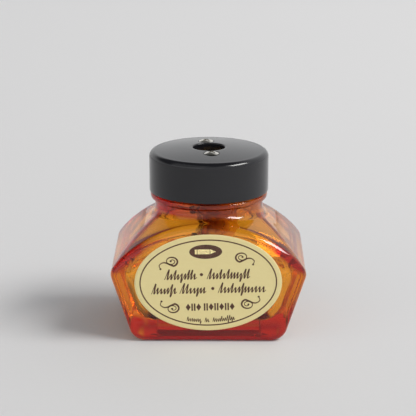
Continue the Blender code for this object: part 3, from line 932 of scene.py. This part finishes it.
def add_oval(mesh_builder, centre, half, steps=14, layer=INK_LAYER):
    """A filled oval, as a short wide stroke with round ends."""
    turns = [pi * i / steps for i in range(steps + 1)]
    points = [(centre[0] - half[0] * cos(turn), centre[1]) for turn in turns]
    add_stroke(mesh_builder, points, [max(half[1] * sin(turn), 0.01) for turn in turns], layer=layer)


def make_border(ink):
    """The thin oval line near the paper's edge."""
    made = bmesh.new()
    steps = 200
    wide, high = LABEL_HALF[0] - BORDER_INSET, LABEL_HALF[1] - BORDER_INSET
    turns = [2 * pi * i / steps for i in range(steps)]
    points = [(wide * cos(turn), high * sin(turn)) for turn in turns]
    add_stroke(made, points, [BORDER_HALF_WIDTH] * steps, closed=True)
    ride(finish_mesh("label_border", made, ink), "bottle", "label_paper")


def scroll():
    """A generic flourish: a hooked tail that runs into a curl."""
    tail = [(-2.95, -1.95), (-3.25, -1.05), (-2.55, -0.4), (-1.6, -0.35), (-0.6, -0.8), (0.35, -1.22)]
    points = spaced(tail, 0.15)
    steps, turns = 64, 1.65
    for i in range(1, steps + 1):
        share = i / steps
        angle = radians(-66) + 2 * pi * turns * share
        reach = 1.36 * (1 - 0.8 * share)
        points.append((1.3 * reach * cos(angle) - 0.3 * (1 - share), reach * sin(angle)))
    return points


def make_scrolls(ink):
    """The same flourish in four places, mirrored left to right and upside down."""
    made = bmesh.new()
    for (u, v), side, up in SCROLLS:
        points = [(u + side * a, v + up * b) for a, b in scroll()]
        count = len(points)
        widths = []
        for i in range(count):
            share = i / (count - 1)
            widths.append(0.10 + 0.13 * sin(pi * min(share * 1.5, 1.0)) ** 2)
        add_stroke(made, points, widths)
        for end in (points[0], points[-1]):
            add_oval(made, end, (0.26, 0.24))
    ride(finish_mesh("label_scrolls", made, ink), "bottle", "label_paper")


def add_scribble(made, chance, start, end, base, height, weight, slant=SCRIPT_SLANT, bow=0.0, first=1.75):
    """A run of handwriting-like waves that spell nothing. Downstrokes are the heavier ones."""
    points = [(start, 0.0)]
    u, tall = start, first
    while u < end - height * 0.5:
        low = -0.55 if chance.random() < 0.14 else 0.0
        step = height * chance.uniform(0.5, 0.66)
        points += [(u + step * 0.22, 0.55 * tall * height), (u + step * 0.5, tall * height)]
        points += [(u + step * 0.66, 0.5 * height), (u + step * 0.86, low * height)]
        u += step
        tall = 1.6 if chance.random() < 0.2 else chance.uniform(0.85, 1.05)
    points.append((u + height * 0.2, 0.35 * height))
    shown = []
    for u, v in spaced(points, 0.1):
        shown.append((u + v * slant, base + v + bow * (1 - (u / 7.0) ** 2)))
    widths = []
    for (au, av), (bu, bv) in zip(shown, shown[1:] + shown[-1:]):
        falling = (av - bv) / (hypot(bu - au, bv - av) or 1.0)
        widths.append(weight * (0.5 + 0.75 * max(falling, 0.0)))
    add_stroke(made, shown, widths)


def make_writing(ink):
    """Strokes with the rhythm of two lines of script, a bold line and a small line, and no letters."""
    chance = random.Random(11)
    made = bmesh.new()
    for start, end, base in SCRIPT_RUNS:
        add_scribble(made, chance, start, end, base, 1.5, 0.155)
    for centre in SCRIPT_DOTS:
        add_oval(made, centre, (0.4, 0.4))
    ride(finish_mesh("label_script", made, ink), "bottle", "label_paper")

    made = bmesh.new()
    low, high = BOLD_LINE
    middle, half = (low + high) / 2, (high - low) / 2
    for i in range(9):
        u = -5.2 + 1.32 * i + (0.5 if i > 2 else 0.0)
        if i % 2:
            for side in (-0.32, 0.32):
                add_stroke(made, [(u + side, low), (u + side, high)], [0.19] * 2)
        else:
            add_stroke(made, [(u - 0.6, middle), (u, middle), (u + 0.6, middle)], [0.02, half, 0.02])
    ride(finish_mesh("label_bold_line", made, ink), "bottle", "label_paper")

    made = bmesh.new()
    for start, end in ((-5.6, -1.9), (-1.1, 0.1), (0.9, 6.3)):
        add_scribble(made, chance, start, end, -9.75, 0.85, 0.1, slant=0.0, bow=-0.62, first=1.3)
    ride(finish_mesh("label_small_line", made, ink), "bottle", "label_paper")


def make_icon(ink, pale):
    """A plain pencil left bare in a printed oval, where a printed mark would be."""
    made = bmesh.new()
    u, v = ICON_CENTRE
    add_oval(made, ICON_CENTRE, ICON_HALF, steps=48, layer=ICON_LAYERS[0])
    ride(finish_mesh("label_icon", made, ink), "bottle", "label_paper")

    made = bmesh.new()
    for left, right in ((-2.7, -2.2), (-2.05, 1.0)):
        add_stroke(made, [(u + left, v), (u + right, v)], [0.62] * 2, layer=ICON_LAYERS[1])
    add_stroke(made, [(u + 1.15, v), (u + 2.5, v)], [0.62, 0.05], layer=ICON_LAYERS[1])
    ride(finish_mesh("label_icon_pencil", made, pale), "bottle", "label_paper")


# Lid and the seal in it


def edge_start():
    return LID_RADIUS - LID_EDGE_RADIUS


def crown_radius():
    return (edge_start() ** 2 + LID_CROWN**2) / (2 * LID_CROWN)


def screw_plane():
    """The height of the lid's top where its two screws are."""
    return LID_TOP - crown_radius() + sqrt(crown_radius() ** 2 - LID_SCREW_RADIUS**2)


def lid_thread():
    """The ridge inside the lid, which the neck's thread carries."""
    steps = round(LID_THREAD_TURNS * LATHE_SEGMENTS)
    start = NECK_THREAD_START - LEAD / 2 + THREAD_CREST_WIDTH
    foot = LID_INSIDE_RADIUS + 0.25
    rings = []
    for i in range(steps + 1):
        turn = LID_THREAD_TURNS * i / steps
        rise = min(1.0, turn / THREAD_FADE, (LID_THREAD_TURNS - turn) / THREAD_FADE)
        middle = start + LEAD * turn
        tip = foot - 0.12 + (LID_THREAD_CREST - foot + 0.12) * rise
        half, crest = THREAD_ROOT_WIDTH / 2, THREAD_CREST_WIDTH / 2
        section = ((foot, middle - half), (tip + 0.1, middle - crest - 0.1), (tip, middle - crest + 0.08))
        section += ((tip, middle + crest - 0.08), (tip + 0.1, middle + crest + 0.1), (foot, middle + half))
        a = 2 * pi * turn
        rings.append([(r * cos(a), r * sin(a), z) for r, z in section])
    return loft(rings)


def make_lid():
    crown = crown_radius()
    crown_centre = (0, LID_TOP - crown)
    hole_top = LID_TOP - crown + sqrt(crown**2 - (PENCIL_HOLE + HOLE_LIP) ** 2)
    profile = [(PENCIL_HOLE + 0.15, LID_CEILING), (PENCIL_HOLE, LID_CEILING + 0.15)]
    profile += arc((PENCIL_HOLE + HOLE_LIP, hole_top - HOLE_LIP), HOLE_LIP, pi, pi / 2, 6)
    profile += arc(
        crown_centre, crown, acos((PENCIL_HOLE + HOLE_LIP) / crown), acos(edge_start() / crown), 14
    )[1:]
    profile += arc((edge_start(), LID_TOP - LID_CROWN - LID_EDGE_RADIUS), LID_EDGE_RADIUS, pi / 2, 0, 14)[1:]
    wall_top, wall_foot = profile[-1], (LID_RADIUS, LID_BOTTOM + LID_LIP_ROUND)
    profile += evenly(wall_top, wall_foot, 8)
    profile += arc((LID_RADIUS - LID_LIP_ROUND, LID_BOTTOM + LID_LIP_ROUND), LID_LIP_ROUND, 0, -pi / 2, 5)
    profile += [(LID_INSIDE_RADIUS + 0.2, LID_BOTTOM), (LID_INSIDE_RADIUS, LID_BOTTOM + 0.2)]
    profile += arc((LID_INSIDE_RADIUS - 0.4, LID_CEILING - 0.4), 0.4, 0, pi / 2, 4)
    shell = finish_mesh("lid_shell", turned(profile, hollow=True), plastic_look())
    combine(shell, "UNION", [lid_thread()])
    hole = LID_SCREW_SHANK + SCREW_CLEARANCE
    mouth = LID_SCREW_HEAD + SCREW_CLEARANCE
    top = screw_plane()
    sink = [(hole, LID_CEILING - 1), (hole, top - LID_SCREW_CONE - SCREW_CLEARANCE / 2)]
    sink += [(mouth, top - 0.05), (mouth + 0.02, top - 0.02)]
    sink += [(mouth + 0.12, top + 0.08), (mouth + 0.12, LID_TOP + 1)]
    cutters = []
    for side in (-1, 1):
        place = Matrix.Translation((0, side * LID_SCREW_RADIUS, 0))
        cutters.append(placed(turned(sink, SMALL_SEGMENTS), place))
    combine(shell, "DIFFERENCE", cutters)
    shell.data.shade_smooth()
    shell.data.set_sharp_from_angle(angle=radians(32))
    turn_with_lid(shell)
    ride(shell, "lid", "black_plastic", "screw_lid")


def make_seal():
    inside, outside = SEAL_RADII
    low, high = SEAL_Z
    soft = 0.2
    profile = []
    for centre, start in (
        ((outside - soft, low + soft), -pi / 2),
        ((outside - soft, high - soft), 0),
        ((inside + soft, high - soft), pi / 2),
        ((inside + soft, low + soft), pi),
    ):
        profile += arc(centre, soft, start, start + pi / 2, 4)
    ring = finish_mesh("seal_ring", turned(profile, hollow=True), foam_look(), sharp=50)
    ride(ring, "seal", "seal_foam", "lid_seal")


# Sharpener


def cone_slope():
    return atan2(PENCIL_HOLE, CONE_TOP - CONE_APEX)


def blade_frame():
    """The blade's own axes: x across it, y up along it and z out of its face."""
    slope = cone_slope()
    along = Vector((-sin(slope), 0, cos(slope)))
    out = Vector((-cos(slope), 0, -sin(slope)))
    seat_x = -(PENCIL_HOLE * (SEAT_TOP - CONE_APEX) / (CONE_TOP - CONE_APEX) - SEAT_DEPTH)
    found = Matrix((along.cross(out), along, out)).transposed().to_4x4()
    found.translation = Vector((seat_x, 0, SEAT_TOP))
    return found


def blade_screw_place():
    return blade_frame() @ Matrix.Translation((-BLADE_SCREW_ACROSS, -BLADE_SIZE[1] / 2, 0))


def make_bar():
    found = blade_frame()
    reach = asin(BAR_HALF_THICKNESS / BAR_RADIUS)
    outline = arc((0, 0), BAR_RADIUS, -pi / 2 - reach, -pi / 2 + reach, 40)
    outline += arc((0, 0), BAR_RADIUS, pi / 2 - reach, pi / 2 + reach, 40)
    bar = loft([[(x, y, z) for x, y in outline] for z in (BAR_BOTTOM, BAR_TOP)])
    bar = finish_mesh("brass_bar", bar, brass_look())
    slope = PENCIL_HOLE / (CONE_TOP - CONE_APEX)
    tip = slope * (BAR_BOTTOM - 1 - CONE_APEX)
    bore = [(tip, BAR_BOTTOM - 1), (PENCIL_HOLE, CONE_TOP), (PENCIL_HOLE, BAR_TOP + 1)]
    seat = placed(box_of((-12, -30, 0), (12, 0.1, 8)), found)
    drop = (SEAT_TOP - WINDOW_TOP) / cos(cone_slope())
    section = ((-0.1, -WINDOW_DEPTH), (10, -0.6), (10, 2), (-0.1, 2))
    ramp = placed(loft([[(x, y, z) for x, z in section] for y in (-drop, -30)]), found)
    hole = BLADE_SCREW_SHANK[0] + SCREW_CLEARANCE
    socket = turned([(hole, -BLADE_SCREW_SHANK[1] - 0.5), (hole, 2)], SMALL_SEGMENTS)
    cutters = [turned(bore, 128), seat, ramp, placed(socket, blade_screw_place())]
    hole = LID_SCREW_SHANK + SCREW_CLEARANCE
    for side in (-1, 1):
        depth = screw_plane() - LID_SCREW_LENGTH - 0.5
        socket = turned([(hole, depth), (hole, BAR_TOP + 1)], SMALL_SEGMENTS)
        cutters.append(placed(socket, Matrix.Translation((0, side * LID_SCREW_RADIUS, 0))))
    combine(bar, "DIFFERENCE", cutters)
    soften(bar, 0.12, angle=40)
    turn_with_lid(bar)
    ride(bar, "lid", "brass", "sharpener_body")


def make_blade():
    across, along, thick = BLADE_SIZE
    low, high = BLADE_LIFT, BLADE_LIFT + thick
    edge = BLADE_EDGE_PAST_AXIS
    section = ((edge, low), (edge - BLADE_BEVEL, high), (edge - across, high), (edge - across, low))
    plate = loft([[(x, y, z) for x, z in section] for y in (-0.4 - along, -0.4)])
    blade = finish_mesh("cutting_blade", placed(plate, blade_frame()), steel_look())
    hole = BLADE_SCREW_SHANK[0] + SCREW_CLEARANCE
    combine(
        blade, "DIFFERENCE", [placed(turned([(hole, -1), (hole, 3)], SMALL_SEGMENTS), blade_screw_place())]
    )
    soften(blade, 0.06, angle=50)
    turn_with_lid(blade)
    ride(blade, "lid", "blade_steel", "sharpener_blade")

    head_radius, head_height = BLADE_SCREW_HEAD
    shank_radius, shank_length = BLADE_SCREW_SHANK
    seat = high + SCREW_CLEARANCE
    top = seat + head_height
    profile = [(shank_radius, -shank_length), (shank_radius, seat), (head_radius - 0.1, seat)]
    profile += [(head_radius, seat + 0.1)]
    profile += arc((head_radius - 0.35, top - 0.35), 0.35, 0, pi / 2, 6)
    profile += [(0.8, top), (0.2, top)]
    body = placed(turned(profile, SMALL_SEGMENTS), blade_screw_place())
    finish = screw_look("screw_steel", (0.60, 0.59, 0.57), (0, 0, 0))
    screw = finish_mesh("blade_clamp_screw", body, finish)
    width, depth = BLADE_SCREW_SLOT
    slot = placed(box_of((-3, -width / 2, top - depth), (3, width / 2, top + 1)), blade_screw_place())
    combine(screw, "DIFFERENCE", [slot])
    soften(screw, 0.04, angle=40)
    turn_with_lid(screw)
    ride(screw, "lid", "screw_steel", "blade_screw")


def cross_outline():
    """A plus sign of (x, y) points, turned 45 degrees, with arms that narrow outwards."""
    half, tip = CROSS_WIDTH / 2, CROSS_WIDTH * 0.36
    arm = [(half, -half), (CROSS_REACH, -tip), (CROSS_REACH, tip)]
    turns = [Matrix.Rotation(pi / 4 + pi / 2 * i, 2) for i in range(4)]
    return [tuple(turn @ Vector(point)) for turn in turns for point in arm]


def make_lid_screw(name, node, side):
    dome_radius = (LID_SCREW_HEAD**2 + LID_SCREW_DOME**2) / (2 * LID_SCREW_DOME)
    half_angle = asin(LID_SCREW_HEAD / dome_radius)
    rim = screw_plane()
    centre = (0, rim + LID_SCREW_DOME - dome_radius)
    profile = [(LID_SCREW_SHANK * 0.6, rim - LID_SCREW_LENGTH)]
    profile += [(LID_SCREW_SHANK, rim - LID_SCREW_LENGTH + 0.5)]
    thread = rim - LID_SCREW_LENGTH + 0.5
    pitch = 0.5
    while thread < rim - LID_SCREW_CONE - 2 * pitch:
        profile += [(LID_SCREW_SHANK - 0.14, thread + pitch * 0.5), (LID_SCREW_SHANK, thread + pitch)]
        thread += pitch
    profile += [(LID_SCREW_SHANK, rim - LID_SCREW_CONE), (LID_SCREW_HEAD - 0.03, rim - 0.05)]
    profile += arc(centre, dome_radius, pi / 2 - half_angle, pi / 2 - half_angle / 12, 12)
    place = Matrix.Translation((0, side * LID_SCREW_RADIUS, 0))
    body = placed(turned(profile, SMALL_SEGMENTS), place)
    middle = Matrix.Rotation(SHARPENER_YAW, 3, "Z") @ Vector((0, side * LID_SCREW_RADIUS * MM, 0))
    screw = finish_mesh(name, body, screw_look(f"{name}_nickel", (0.80, 0.775, 0.71), tuple(middle)))
    top = rim + LID_SCREW_DOME
    cross = loft([[(x, y, z) for x, y in cross_outline()] for z in (top - CROSS_DEPTH, top + 1)])
    combine(screw, "DIFFERENCE", [placed(cross, place)])
    screw.data.shade_smooth()
    screw.data.set_sharp_from_angle(angle=radians(35))
    turn_with_lid(screw)
    ride(screw, "lid", "nickel", node)


bpy.context.scene.view_settings.view_transform = "Standard"
bpy.context.scene.cycles.max_bounces = LIGHT_BOUNCES
bpy.context.scene.cycles.transmission_bounces = LIGHT_BOUNCES
bpy.context.scene.cycles.glossy_bounces = LIGHT_BOUNCES
bpy.context.scene.cycles.diffuse_bounces = DIFFUSE_BOUNCES
make_camera()
make_stage()
make_bottle()
make_paper()
brown_ink = ink_look("brown_ink", BROWN_INK)
make_border(brown_ink)
make_scrolls(brown_ink)
make_writing(brown_ink)
make_icon(brown_ink, ink_look("bare_paper", BARE_PAPER))
make_lid()
make_seal()
make_bar()
make_blade()
make_lid_screw("lid_screw_a", "lid_screw_front", -1)
make_lid_screw("lid_screw_b", "lid_screw_back", 1)

bpy.context.view_layer.update()
